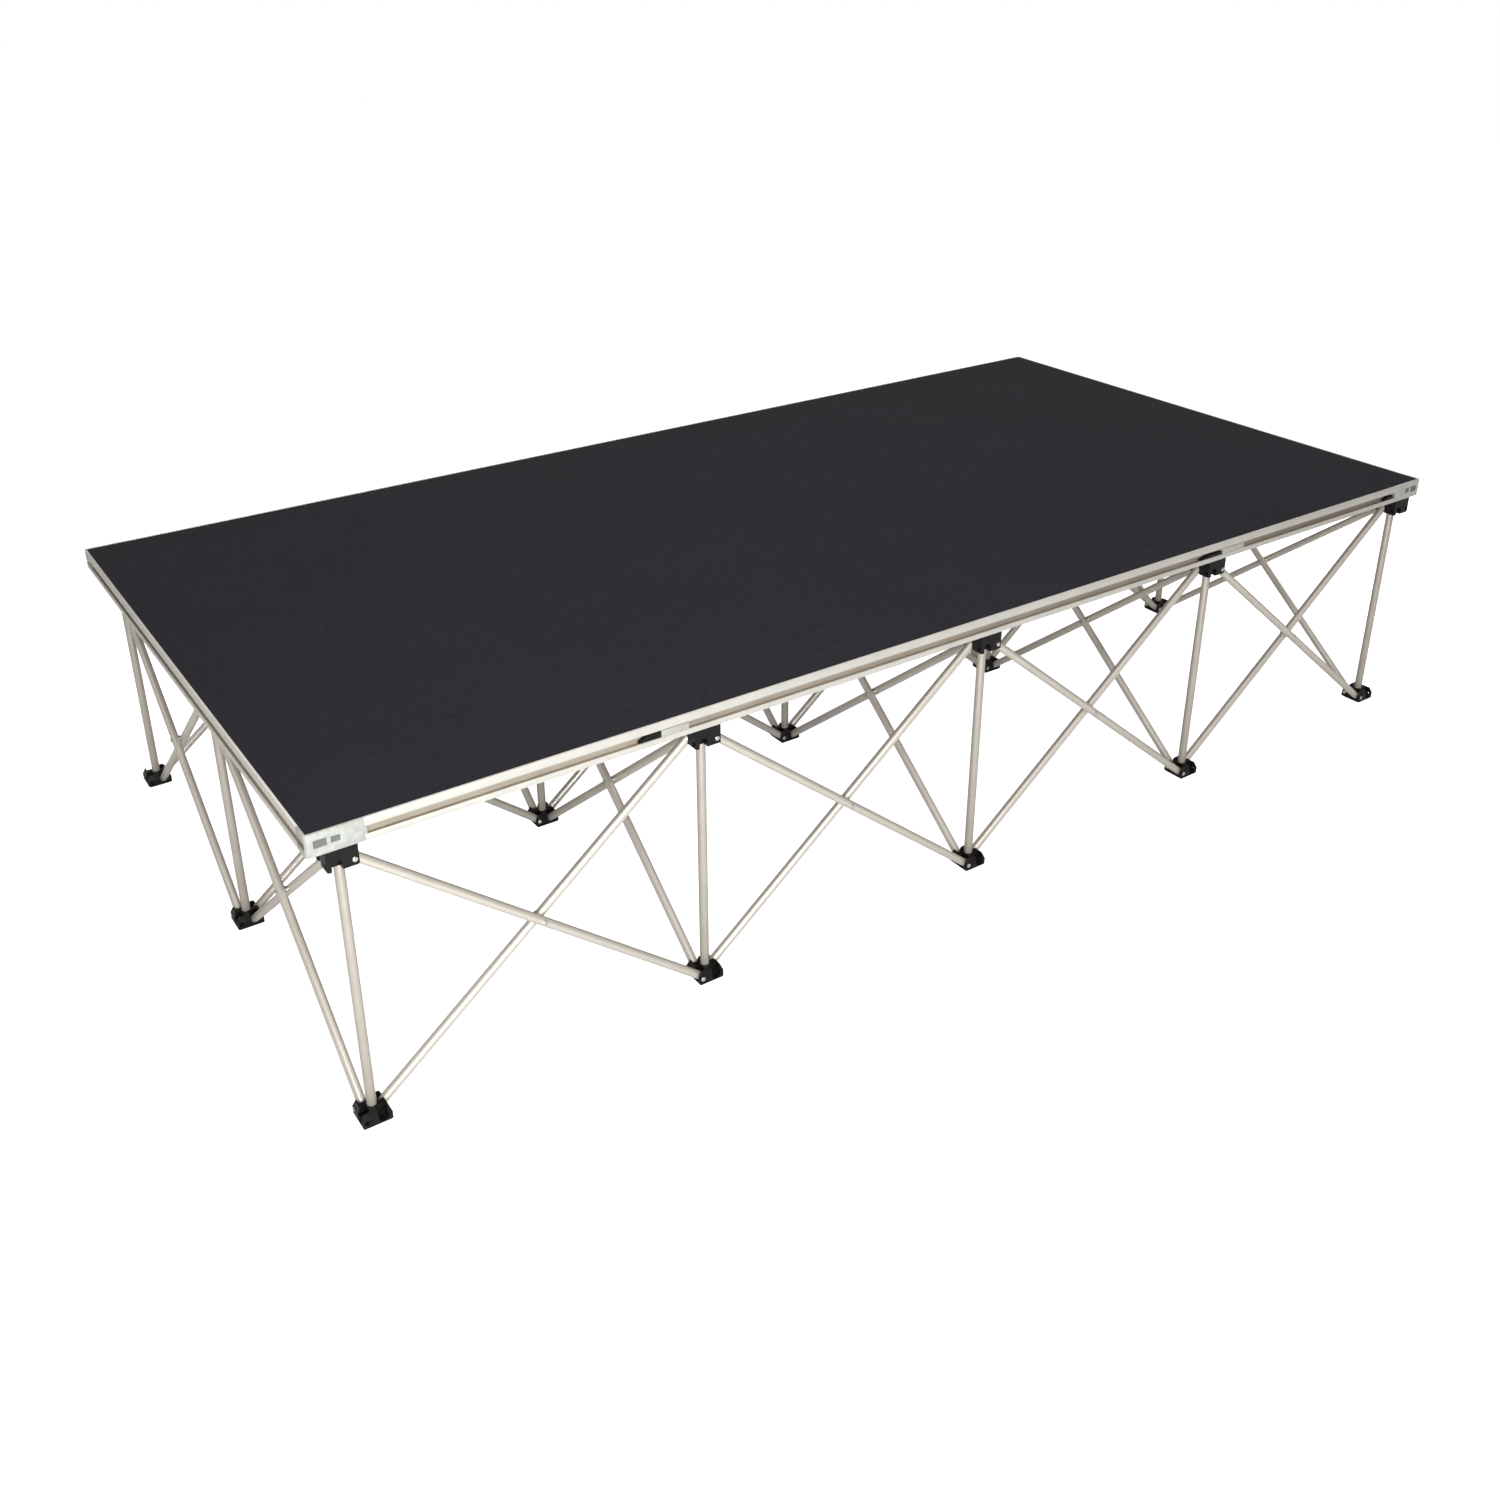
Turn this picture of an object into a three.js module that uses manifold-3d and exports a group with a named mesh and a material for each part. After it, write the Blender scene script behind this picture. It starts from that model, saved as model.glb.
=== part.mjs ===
// Stage riser platform: a 2 m x 1 m deck on a folding scissor frame.
// Units are millimetres, +Z is up. The origin is on the floor under the deck's centre.
// +X runs along the deck's length, +Y towards its back.
//
// Columns of hubs c1..c5 stand along the length and rows r1..r3 from front to back. The frame's hubs,
// posts and side braces are modelled on columns c1, c3 and c5, and the long braces on every bay.

import * as THREE from "three";
import { mergeVertices } from "three/addons/utils/BufferGeometryUtils.js";
import Module from "manifold-3d";

const wasm = await Module();
wasm.setup();

// deck
const DECK_LENGTH = 2000;
const DECK_WIDTH = 1000;
const TOTAL_HEIGHT = 425;
const RAIL_HEIGHT = 29;
const RAIL_WIDTH = 25;
const RAIL_LEDGE = 19;
const RAIL_LIP = 3.5;
const GROOVE_MOUTH = [7.8, 17.4];
const GROOVE_CAVITY = [6.4, 18];
const GROOVE_LIP = 2;
const GROOVE_DEPTH = 8;
const CASTING_LENGTH = 68;
const CASTING_RADIUS = 5;
const BOARD_THICKNESS = 9.4;
const BEAM_WIDTH = 40;
const RAIL_OVERLAP = 0.5;
const GAP = 0.3;
const CUT = 1;
const CURVE_SEGMENTS = 2;

// folding frame
const PITCH = 480;
const HUB_SIDE = 38;
const HUB_HEIGHT = 28;
const HUB_CHAMFER = 3;
const FOOT_HEIGHT = 21;
const FOOT_SHOULDER = 12;
const FOOT_TOP_SIDE = 31;
const PIN_INSET = 13.8;
const LANE = 7;
const HUB_PIN_RISE = 8;
const FOOT_PIN_RISE = 10;
const PIN_RADIUS = 2.5;
const PIN_SIDES = 6;
const PIN_HEAD_INSET = 0.5;
const PIN_TAIL = 2;
const TUBE_RADIUS = 6;
const TUBE_WALL = 1.3;
const TUBE_SIDES = 8;
const EYE_RADIUS = 3.4;
const SLOT_CLEARANCE = 0.4;
const POST_RADIUS = 6.2;
const POST_SIDES = 12;
const POST_TOP = 24;
const SOCKET_RADIUS = 6.7;

const DECK_BOTTOM = TOTAL_HEIGHT - RAIL_HEIGHT;
const HUB_BOTTOM = DECK_BOTTOM - GAP - HUB_HEIGHT;
const HUB_PIN_Z = HUB_BOTTOM + HUB_PIN_RISE;
const SLOT_FLOOR = FOOT_PIN_RISE - TUBE_RADIUS - SLOT_CLEARANCE;
const BRACE_RUN = PITCH - 2 * PIN_INSET;
const BRACE_RISE = HUB_PIN_Z - FOOT_PIN_RISE;
const BRACE_LENGTH = Math.hypot(BRACE_RUN, BRACE_RISE);
const BRACE_ANGLE = Math.atan2(BRACE_RISE, BRACE_RUN);
const COLUMNS = [1, 3, 5];
const ROWS = [1, 2, 3];

const columnX = (column) => (column - 3) * PITCH;
const rowY = (row) => (row - 2) * PITCH;

const aluminium = () => new THREE.MeshStandardMaterial({ color: 0xcfc8bd, roughness: 0.35, metalness: 0.9 });
const blackPlastic = () => new THREE.MeshStandardMaterial({ color: 0x1b1b1a, roughness: 0.5, metalness: 0 });
const deckBlack = () => new THREE.MeshStandardMaterial({ color: 0x302e34, roughness: 0.8, metalness: 0 });

// solids

function toManifold(geometry) {
  const bare = geometry.clone();
  bare.deleteAttribute("normal");
  bare.deleteAttribute("uv");
  const merged = mergeVertices(bare, 1e-4);
  return new wasm.Manifold(
    new wasm.Mesh({
      numProp: 3,
      vertProperties: new Float32Array(merged.attributes.position.array),
      triVerts: new Uint32Array(merged.index.array),
    })
  );
}

function toGeometry(manifold) {
  const mesh = manifold.getMesh();
  const geometry = new THREE.BufferGeometry();
  geometry.setAttribute("position", new THREE.BufferAttribute(mesh.vertProperties, 3));
  geometry.setIndex(new THREE.BufferAttribute(mesh.triVerts, 1));
  geometry.computeVertexNormals();
  return geometry;
}

function box([x0, y0, z0], [x1, y1, z1]) {
  const geometry = new THREE.BoxGeometry(x1 - x0, y1 - y0, z1 - z0);
  geometry.translate((x0 + x1) / 2, (y0 + y1) / 2, (z0 + z1) / 2);
  return geometry;
}

// A square column whose side follows a profile of [side, height] pairs from the bottom up.
function squareColumn(profile) {
  const points = profile.map(([side, z]) => new THREE.Vector2(side / Math.SQRT2, z));
  points.unshift(new THREE.Vector2(0, profile[0][1]));
  points.push(new THREE.Vector2(0, profile[profile.length - 1][1]));
  const geometry = new THREE.LatheGeometry(points, 4);
  geometry.rotateY(Math.PI / 4);
  geometry.rotateX(Math.PI / 2);
  return geometry;
}

function polygon(sides, radius) {
  const points = [];
  for (let i = 0; i < sides; i++) {
    const angle = ((i + 0.5) * 2 * Math.PI) / sides;
    points.push(new THREE.Vector2(radius * Math.cos(angle), radius * Math.sin(angle)));
  }
  return points;
}

function extrude(shape, depth) {
  return new THREE.ExtrudeGeometry(shape, {
    depth,
    bevelEnabled: false,
    curveSegments: CURVE_SEGMENTS,
  });
}

function upright(radius, sides, low, high) {
  const geometry = new THREE.CylinderGeometry(radius, radius, high - low, sides);
  geometry.rotateX(Math.PI / 2);
  geometry.rotateZ(Math.PI / sides);
  geometry.translate(0, 0, (low + high) / 2);
  return toManifold(geometry);
}

// One hub or foot: a block with four slots set pinwheel fashion and a pivot pin across each slot that
// holds a brace. `lane` is +1 or -1, the side that the slots are set to.
function makeBlock({ profile, slot: [slotLow, slotHigh], pinZ, lane, sides }) {
  const half = HUB_SIDE / 2;
  const slotHalf = TUBE_RADIUS + SLOT_CLEARANCE;
  const laneY = lane * LANE;
  const pinHead = half - PIN_HEAD_INSET;
  let solid = toManifold(squareColumn(profile));
  for (let side = 0; side < 4; side++) {
    const slot = box(
      [PIN_INSET - slotHalf, laneY - slotHalf, slotLow],
      [half + CUT, laneY + slotHalf, slotHigh]
    );
    slot.rotateZ((side * Math.PI) / 2);
    solid = solid.subtract(toManifold(slot));
  }
  for (const side of sides) {
    const pin = new THREE.CylinderGeometry(PIN_RADIUS, PIN_RADIUS, pinHead + PIN_TAIL, PIN_SIDES);
    pin.translate(PIN_INSET, (lane * (pinHead - PIN_TAIL)) / 2, pinZ);
    pin.rotateZ((side * Math.PI) / 2);
    solid = solid.add(toManifold(pin));
  }
  return solid;
}

// Sides are numbered 0 for +X, 1 for +Y, 2 for -X and 3 for -Y.
function usedSides(column, row) {
  const sides = [];
  if (column < 5) sides.push(0);
  if (row < 3) sides.push(1);
  if (column > 1) sides.push(2);
  if (row > 1) sides.push(3);
  return sides;
}

// The top hub and the upright post fixed in it. The post's lower end stands in the foot's socket.
function makeTopHub(column, row) {
  const block = makeBlock({
    profile: [
      [HUB_SIDE - 2 * HUB_CHAMFER, 0],
      [HUB_SIDE, HUB_CHAMFER],
      [HUB_SIDE, HUB_HEIGHT],
    ],
    slot: [-CUT, HUB_PIN_RISE + TUBE_RADIUS + SLOT_CLEARANCE],
    pinZ: HUB_PIN_RISE,
    lane: -1,
    sides: usedSides(column, row),
  });
  const post = upright(POST_RADIUS, POST_SIDES, SLOT_FLOOR + GAP - HUB_BOTTOM, POST_TOP);
  return toGeometry(block.add(post));
}

function makeFoot(column, row) {
  const block = makeBlock({
    profile: [
      [HUB_SIDE, 0],
      [HUB_SIDE, FOOT_SHOULDER],
      [FOOT_TOP_SIDE, FOOT_HEIGHT],
    ],
    slot: [SLOT_FLOOR, FOOT_HEIGHT + CUT],
    pinZ: FOOT_PIN_RISE,
    lane: 1,
    sides: usedSides(column, row),
  });
  const socket = upright(SOCKET_RADIUS, POST_SIDES, SLOT_FLOOR, FOOT_HEIGHT + CUT);
  return toGeometry(block.subtract(socket));
}

// A brace lies along +X from pin to pin: a round tube, its ends rounded about the pins, with an eye
// across it at each end for the hub's pin.
function makeBrace() {
  const across = 4 * TUBE_RADIUS;
  const ring = new THREE.Shape(polygon(TUBE_SIDES, TUBE_RADIUS));
  ring.holes.push(new THREE.Path(polygon(TUBE_SIDES, TUBE_RADIUS - TUBE_WALL)));
  const tube = extrude(ring, BRACE_LENGTH + 2 * TUBE_RADIUS);
  tube.translate(0, 0, -TUBE_RADIUS);
  tube.rotateY(Math.PI / 2);
  const outline = new THREE.Shape();
  outline.absarc(0, 0, TUBE_RADIUS, Math.PI / 2, (3 * Math.PI) / 2, false);
  outline.absarc(BRACE_LENGTH, 0, TUBE_RADIUS, -Math.PI / 2, Math.PI / 2, false);
  const plate = extrude(outline, across);
  plate.translate(0, 0, -across / 2);
  plate.rotateX(Math.PI / 2);
  let solid = toManifold(tube).intersect(toManifold(plate));
  for (const x of [0, BRACE_LENGTH]) {
    const eye = new THREE.CylinderGeometry(EYE_RADIUS, EYE_RADIUS, across, PIN_SIDES);
    eye.translate(x, 0, 0);
    solid = solid.subtract(toManifold(eye));
  }
  return toGeometry(solid);
}

// A rail's section: x runs inwards from its outer face, y upwards from its underside. The T-shaped
// groove in the outer face takes the coupling plates that join decks.
function railShape() {
  const [mouthLow, mouthHigh] = GROOVE_MOUTH;
  const [cavityLow, cavityHigh] = GROOVE_CAVITY;
  return new THREE.Shape([
    new THREE.Vector2(0, 0),
    new THREE.Vector2(RAIL_WIDTH, 0),
    new THREE.Vector2(RAIL_WIDTH, RAIL_LEDGE),
    new THREE.Vector2(RAIL_LIP, RAIL_LEDGE),
    new THREE.Vector2(RAIL_LIP, RAIL_HEIGHT),
    new THREE.Vector2(0, RAIL_HEIGHT),
    new THREE.Vector2(0, mouthHigh),
    new THREE.Vector2(GROOVE_LIP, mouthHigh),
    new THREE.Vector2(GROOVE_LIP, cavityHigh),
    new THREE.Vector2(GROOVE_DEPTH, cavityHigh),
    new THREE.Vector2(GROOVE_DEPTH, cavityLow),
    new THREE.Vector2(GROOVE_LIP, cavityLow),
    new THREE.Vector2(GROOVE_LIP, mouthLow),
    new THREE.Vector2(0, mouthLow),
  ]);
}

// The rail stretches along +X with its outer face on y = 0 and the deck towards +Y.
function railAlongX(length) {
  const rail = extrude(railShape(), length);
  rail.rotateX(Math.PI / 2);
  rail.rotateZ(Math.PI / 2);
  rail.translate(-length / 2, 0, 0);
  return rail;
}

// A corner casting at the rail's -X end: plain in front, with a rounded corner. The groove of the
// short rail runs on into its end face.
function cornerCasting() {
  const shape = new THREE.Shape();
  shape.moveTo(CASTING_LENGTH, 0);
  shape.lineTo(CASTING_LENGTH, RAIL_WIDTH);
  shape.lineTo(0, RAIL_WIDTH);
  shape.lineTo(0, CASTING_RADIUS);
  shape.absarc(CASTING_RADIUS, CASTING_RADIUS, CASTING_RADIUS, Math.PI, 1.5 * Math.PI, false);
  const block = extrude(shape, RAIL_HEIGHT);
  const pocket = box(
    [RAIL_LIP, RAIL_LIP, RAIL_LEDGE],
    [CASTING_LENGTH + CUT, RAIL_WIDTH + CUT, RAIL_HEIGHT + CUT]
  );
  const groove = box(
    [-CUT, RAIL_LIP, GROOVE_MOUTH[0]],
    [GROOVE_DEPTH, RAIL_WIDTH + CUT, GROOVE_MOUTH[1]]
  );
  return toManifold(block).subtract(toManifold(pocket)).subtract(toManifold(groove));
}

// A long rail with a casting fixed in each end.
function makeLongRail() {
  const rail = toManifold(railAlongX(DECK_LENGTH - 2 * (CASTING_LENGTH - RAIL_OVERLAP)));
  const left = cornerCasting().translate([-DECK_LENGTH / 2, 0, 0]);
  const right = cornerCasting().mirror([1, 0, 0]).translate([DECK_LENGTH / 2, 0, 0]);
  return toGeometry(rail.add(left).add(right));
}

function makeShortRail() {
  return toGeometry(toManifold(railAlongX(DECK_WIDTH - 2 * RAIL_WIDTH - 2 * GAP)));
}

function makeDeckBoard() {
  const inset = RAIL_LIP + GAP;
  return box(
    [-DECK_LENGTH / 2 + inset, -DECK_WIDTH / 2 + inset, 0],
    [DECK_LENGTH / 2 - inset, DECK_WIDTH / 2 - inset, BOARD_THICKNESS]
  );
}

function makeCentreBeam() {
  const end = DECK_LENGTH / 2 - RAIL_WIDTH - GAP;
  return box([-end, -BEAM_WIDTH / 2, 0], [end, BEAM_WIDTH / 2, RAIL_LEDGE]);
}

// assembly

function addMesh(parent, name, geometry, material, [x, y, z] = [0, 0, 0]) {
  const mesh = new THREE.Mesh(geometry, material);
  mesh.name = name;
  mesh.position.set(x, y, z);
  parent.add(mesh);
  return mesh;
}

// A brace starts at a pin and points up or down in the plane of the bay.
function addBrace(parent, name, [x, y, z], heading, slope) {
  const mesh = addMesh(parent, name, makeBrace(), aluminium(), [x, y, z]);
  mesh.rotation.order = "ZYX";
  mesh.rotation.set(0, -slope, heading);
}

function makeFrame() {
  const frame = new THREE.Group();
  for (const column of COLUMNS) {
    for (const row of ROWS) {
      const place = `c${column}_r${row}`;
      const x = columnX(column);
      const y = rowY(row);
      addMesh(frame, `foot_${place}`, makeFoot(column, row), blackPlastic(), [x, y, 0]);
      addMesh(frame, `top_hub_${place}`, makeTopHub(column, row), blackPlastic(), [x, y, HUB_BOTTOM]);
    }
    // side braces: the rising one starts at the nearer foot, the falling one at the nearer top hub
    for (const bay of [1, 2]) {
      const x = columnX(column);
      const y = rowY(bay) + PIN_INSET;
      const name = `c${column}_b${bay}`;
      const quarter = Math.PI / 2;
      addBrace(frame, `side_brace_up_${name}`, [x - LANE, y, FOOT_PIN_RISE], quarter, BRACE_ANGLE);
      addBrace(frame, `side_brace_down_${name}`, [x + LANE, y, HUB_PIN_Z], quarter, -BRACE_ANGLE);
    }
  }
  for (const row of ROWS) {
    for (const bay of [1, 2, 3, 4]) {
      const x = columnX(bay) + PIN_INSET;
      const y = rowY(row);
      const name = `b${bay}_r${row}`;
      addBrace(frame, `long_brace_up_${name}`, [x, y + LANE, FOOT_PIN_RISE], 0, BRACE_ANGLE);
      addBrace(frame, `long_brace_down_${name}`, [x, y - LANE, HUB_PIN_Z], 0, -BRACE_ANGLE);
    }
  }
  return frame;
}

function makeDeck() {
  const deck = new THREE.Group();
  deck.position.z = DECK_BOTTOM;
  addMesh(deck, "front_rail", makeLongRail(), aluminium(), [0, -DECK_WIDTH / 2, 0]);
  const back = addMesh(deck, "back_rail", makeLongRail(), aluminium(), [0, DECK_WIDTH / 2, 0]);
  back.rotation.z = Math.PI;
  const left = addMesh(deck, "left_rail", makeShortRail(), aluminium(), [-DECK_LENGTH / 2, 0, 0]);
  left.rotation.z = -Math.PI / 2;
  const right = addMesh(deck, "right_rail", makeShortRail(), aluminium(), [DECK_LENGTH / 2, 0, 0]);
  right.rotation.z = Math.PI / 2;
  addMesh(deck, "centre_beam", makeCentreBeam(), aluminium());
  addMesh(deck, "deck_board", makeDeckBoard(), deckBlack(), [0, 0, RAIL_LEDGE + GAP]);
  return deck;
}

const riser = new THREE.Group();
riser.name = "stage_riser_platform";
riser.add(makeFrame());
riser.add(makeDeck());

export default riser;
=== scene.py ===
"""The visual model of a stage riser platform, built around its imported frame.

Metres, in the frame's own axes: the floor is z = 0, +X runs along the deck and -Y is its front.
Columns of hubs 1 to 5 stand along the length, rows 1 to 3 from front to back.
"""

import math

import bmesh
import bpy
from mathutils import Matrix, Vector


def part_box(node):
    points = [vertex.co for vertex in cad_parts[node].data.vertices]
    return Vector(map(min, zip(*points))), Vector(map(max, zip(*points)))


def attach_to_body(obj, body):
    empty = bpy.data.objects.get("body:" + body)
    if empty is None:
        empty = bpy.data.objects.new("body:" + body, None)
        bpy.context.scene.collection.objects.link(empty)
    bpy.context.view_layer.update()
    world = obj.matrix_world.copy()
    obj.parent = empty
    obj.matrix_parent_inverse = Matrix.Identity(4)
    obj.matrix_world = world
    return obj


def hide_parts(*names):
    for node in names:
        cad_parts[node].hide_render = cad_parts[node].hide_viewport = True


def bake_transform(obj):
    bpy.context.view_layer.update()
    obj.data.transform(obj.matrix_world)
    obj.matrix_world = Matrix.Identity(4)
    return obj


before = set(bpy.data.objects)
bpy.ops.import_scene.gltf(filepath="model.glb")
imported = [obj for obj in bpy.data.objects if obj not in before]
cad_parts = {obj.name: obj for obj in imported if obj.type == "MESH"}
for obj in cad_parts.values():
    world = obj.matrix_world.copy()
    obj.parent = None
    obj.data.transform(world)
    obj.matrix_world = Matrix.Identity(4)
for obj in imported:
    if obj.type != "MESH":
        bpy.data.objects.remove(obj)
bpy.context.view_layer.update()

MM = 0.001

# ---- sizes from the frame ---------------------------------------------------------------------

foot_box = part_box("foot_c1_r1")
hub_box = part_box("top_hub_c1_r1")
front_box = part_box("front_rail")
left_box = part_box("left_rail")
board_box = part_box("deck_board")
beam_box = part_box("centre_beam")

HUB_SIDE = foot_box[1].x - foot_box[0].x
FOOT_HEIGHT = foot_box[1].z
HUB_TOP = hub_box[1].z
POST_BOTTOM = hub_box[0].z
PITCH = -(foot_box[0].y + foot_box[1].y) / 2
DECK_LENGTH = front_box[1].x - front_box[0].x
DECK_FRONT = front_box[0].y
DECK_LEFT = left_box[0].x
RAIL_WIDTH = front_box[1].y - front_box[0].y
DECK_BOTTOM = front_box[0].z
RAIL_HEIGHT = front_box[1].z - DECK_BOTTOM
RAIL_LEDGE = beam_box[1].z - DECK_BOTTOM

# ---- sizes of the finer shapes ----------------------------------------------------------------

HUB_HEIGHT = 28 * MM
HUB_CHAMFER = 1.6 * MM
HUB_TOP_CHAMFER = 0.6 * MM
FOOT_SHOULDER = 12 * MM
FOOT_TOP_SIDE = 31 * MM
FOOT_BASE = 1.5 * MM
FOOT_CHAMFER = 0.5 * MM
FOOT_CHAMFER_RISE = 0.8 * MM
CORNER_RADIUS = 1.6 * MM
BLOCK_BEVEL = 0.35 * MM
PIN_INSET = 13.8 * MM
LANE = 7 * MM
HUB_PIN_RISE = 8 * MM
FOOT_PIN_RISE = 10 * MM
PIN_RADIUS = 2.5 * MM
PIN_TIP = 2 * MM
PIN_CHAMFER = 0.3 * MM
PIN_HEAD_RADIUS = 3.4 * MM
PIN_HOLE_DEPTH = 4 * MM
PIN_SINK_RADIUS = 3.6 * MM
PIN_SINK_DEPTH = 0.9 * MM
TUBE_RADIUS = 6 * MM
TUBE_WALL = 1.3 * MM
EYE_RADIUS = 2.65 * MM
RIVET_HEAD_RADIUS = 3.6 * MM
SPACER_RADIUS = 4.6 * MM
SPACER_CHAMFER = 0.2 * MM
POST_RADIUS = 6.2 * MM
POST_BEVEL = 0.3 * MM
SLOT_HALF = TUBE_RADIUS + 0.4 * MM
FOOT_SOCKET_RADIUS = 6.7 * MM
HUB_SOCKET_RADIUS = 6.3 * MM
POST_TOP = 22 * MM
PAD_INSET = 2 * MM
PAD_BEVEL = 0.4 * MM
PAD_RADIUS = 3 * MM
RAIL_LIP = 3.5 * MM
RAIL_BEVEL = 0.35 * MM
GROOVE_MOUTH = (7.8 * MM, 17.4 * MM)
GROOVE_CAVITY = (6.4 * MM, 18 * MM)
GROOVE_LIP = 2 * MM
MOUTH_CHAMFER = 0.9 * MM
GROOVE_DEPTH = 8 * MM
CASTING_LENGTH = 68 * MM
CASTING_RADIUS = 5 * MM
CASTING_BEVEL = 0.25 * MM
# The blank recesses in a casting's face, by their low and high corners as (x, z).
RECESSES = (
    ((9.5 * MM, 10 * MM), (25 * MM, 20 * MM)),
    ((29.5 * MM, 11 * MM), (40.5 * MM, 19 * MM)),
)
RECESS_DEPTH = 0.4 * MM
BOARD_BEVEL = 0.5 * MM
BEAM_WALL = 2 * MM
BEAM_RIB = 1.2 * MM
BEAM_BEVEL = 0.4 * MM
GROOVE_PART_BEVEL = 0.4 * MM
PLUG_LENGTH = 3 * MM
COUPLING_GAP = 0.3 * MM
COUPLING_PROUD = 0.3 * MM
STOP_GAP = 0.5 * MM
STOP_SUNK = 0.6 * MM
SKIN = 0.5 * MM
GAP = 0.1 * MM
ROUND_SIDES = 28
HOLE_SIDES = 16
SINK_SIDES = 20
SOCKET_SIDES = 24
SLOT_STEPS = 14
CORNER_STEPS = 4
CASTING_STEPS = 8

HUB_BOTTOM = HUB_TOP - HUB_HEIGHT
HUB_PIN_Z = HUB_BOTTOM + HUB_PIN_RISE
BRACE_RUN = PITCH - 2 * PIN_INSET
BRACE_RISE = HUB_PIN_Z - FOOT_PIN_RISE
BRACE_LENGTH = math.hypot(BRACE_RUN, BRACE_RISE)
BRACE_ANGLE = math.atan2(BRACE_RISE, BRACE_RUN)

COLUMNS = (1, 2, 3, 4, 5)
ROWS = (1, 2, 3)
LONG_BAYS = (1, 2, 3, 4)
SIDE_BAYS = (1, 2)
QUARTER = math.pi / 2


def column_x(column):
    return (column - 3) * PITCH


def row_y(row):
    return (row - 2) * PITCH


# ---- materials --------------------------------------------------------------------------------


def srgb(red, green, blue):
    """A linear colour from its values as shown, 0 to 255."""
    def linear(value):
        value /= 255
        return value / 12.92 if value <= 0.04045 else ((value + 0.055) / 1.055) ** 2.4
    return (linear(red), linear(green), linear(blue), 1)


class Nodes:
    """A material's node tree, with the few nodes that the finishes here are made of."""

    def __init__(self, name):
        self.material = bpy.data.materials.new(name)
        self.material.use_nodes = True
        self.tree = self.material.node_tree
        self.shader = self.tree.nodes["Principled BSDF"]

    def add(self, kind, **settings):
        node = self.tree.nodes.new(kind)
        for key, value in settings.items():
            setattr(node, key, value)
        return node

    def link(self, source, target):
        self.tree.links.new(source, target)

    def local(self, stretch=(1, 1, 1)):
        """The place on the piece in its own axes, which stays with it as it moves."""
        attribute = self.add("ShaderNodeAttribute", attribute_name="local")
        mapping = self.add("ShaderNodeMapping")
        mapping.inputs["Scale"].default_value = stretch
        self.link(attribute.outputs["Vector"], mapping.inputs["Vector"])
        return mapping.outputs["Vector"]

    def noise(self, place, scale, detail=2.0, roughness=0.5):
        node = self.add("ShaderNodeTexNoise")
        node.inputs["Scale"].default_value = scale
        node.inputs["Detail"].default_value = detail
        node.inputs["Roughness"].default_value = roughness
        self.link(place, node.inputs["Vector"])
        return node.outputs["Fac"]

    def colours(self, factor, *stops):
        """A ramp of (position, colour) stops read at factor."""
        node = self.add("ShaderNodeValToRGB")
        elements = node.color_ramp.elements
        while len(elements) < len(stops):
            elements.new(0.5)
        for element, (position, colour) in zip(elements, stops):
            element.position = position
            element.color = colour
        self.link(factor, node.inputs["Fac"])
        return node.outputs["Color"]

    def spread(self, factor, low, high):
        """Factor's middle range, stretched to run from low to high."""
        node = self.add("ShaderNodeMapRange")
        node.inputs["From Min"].default_value = 0.3
        node.inputs["From Max"].default_value = 0.7
        node.inputs["To Min"].default_value = low
        node.inputs["To Max"].default_value = high
        self.link(factor, node.inputs["Value"])
        return node.outputs["Result"]

    def blend(self, factor, first, second):
        node = self.add("ShaderNodeMix", data_type="RGBA")
        node.inputs["Factor"].default_value = factor
        self.link(first, node.inputs[6])
        self.link(second, node.inputs[7])
        return node.outputs[2]

    def bump(self, height, strength, distance):
        node = self.add("ShaderNodeBump")
        node.inputs["Strength"].default_value = strength
        node.inputs["Distance"].default_value = distance
        self.link(height, node.inputs["Height"])
        return node.outputs["Normal"]

    def finish(self, colour, roughness, normal=None, **constants):
        self.link(colour, self.shader.inputs["Base Color"])
        self.link(roughness, self.shader.inputs["Roughness"])
        if normal is not None:
            self.link(normal, self.shader.inputs["Normal"])
        for key, value in constants.items():
            self.shader.inputs[key.replace("_", " ")].default_value = value
        return self.material


def deck_surface_material():
    """Matt black anti-slip film with a fine grit and faint cloudy variation."""
    n = Nodes("deck_surface")
    place = n.local()
    clouds = n.noise(place, 7, 4)
    grit = n.noise(place, 700, 2, 0.7)
    base = n.colours(clouds, (0.3, srgb(34, 32, 37)), (0.7, srgb(38, 36, 41)))
    grain = n.colours(grit, (0.35, srgb(28, 26, 31)), (0.65, srgb(45, 43, 49)))
    colour = n.blend(0.45, base, grain)
    roughness = n.spread(n.noise(place, 90, 3), 0.62, 0.78)
    normal = n.bump(grit, 0.35, 0.4 * MM)
    return n.finish(colour, roughness, normal, Specular_IOR_Level=0.12)


def board_core_material():
    """The board's plywood underside and edge, sealed dark brown."""
    n = Nodes("board_core")
    grain = n.noise(n.local((3, 60, 60)), 4, 6, 0.6)
    colour = n.colours(grain, (0.3, srgb(58, 42, 30)), (0.7, srgb(88, 66, 47)))
    roughness = n.spread(grain, 0.6, 0.75)
    return n.finish(colour, roughness, n.bump(grain, 0.2, 0.3 * MM))


def drawn_metal_material(name, dark, light, rough, metallic, relief):
    """Extruded or drawn aluminium: fine lines along the piece and soft cloudy anodising."""
    n = Nodes(name)
    lines = n.noise(n.local((12, 1800, 1800)), 1, 3, 0.6)
    clouds = n.noise(n.local(), 22, 3)
    tone = n.blend(0.5, lines, clouds)
    colour = n.colours(tone, (0.32, dark), (0.68, light))
    roughness = n.spread(lines, rough - 0.06, rough + 0.08)
    normal = n.bump(lines, relief, 0.05 * MM)
    return n.finish(colour, roughness, normal, Metallic=metallic)


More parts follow.
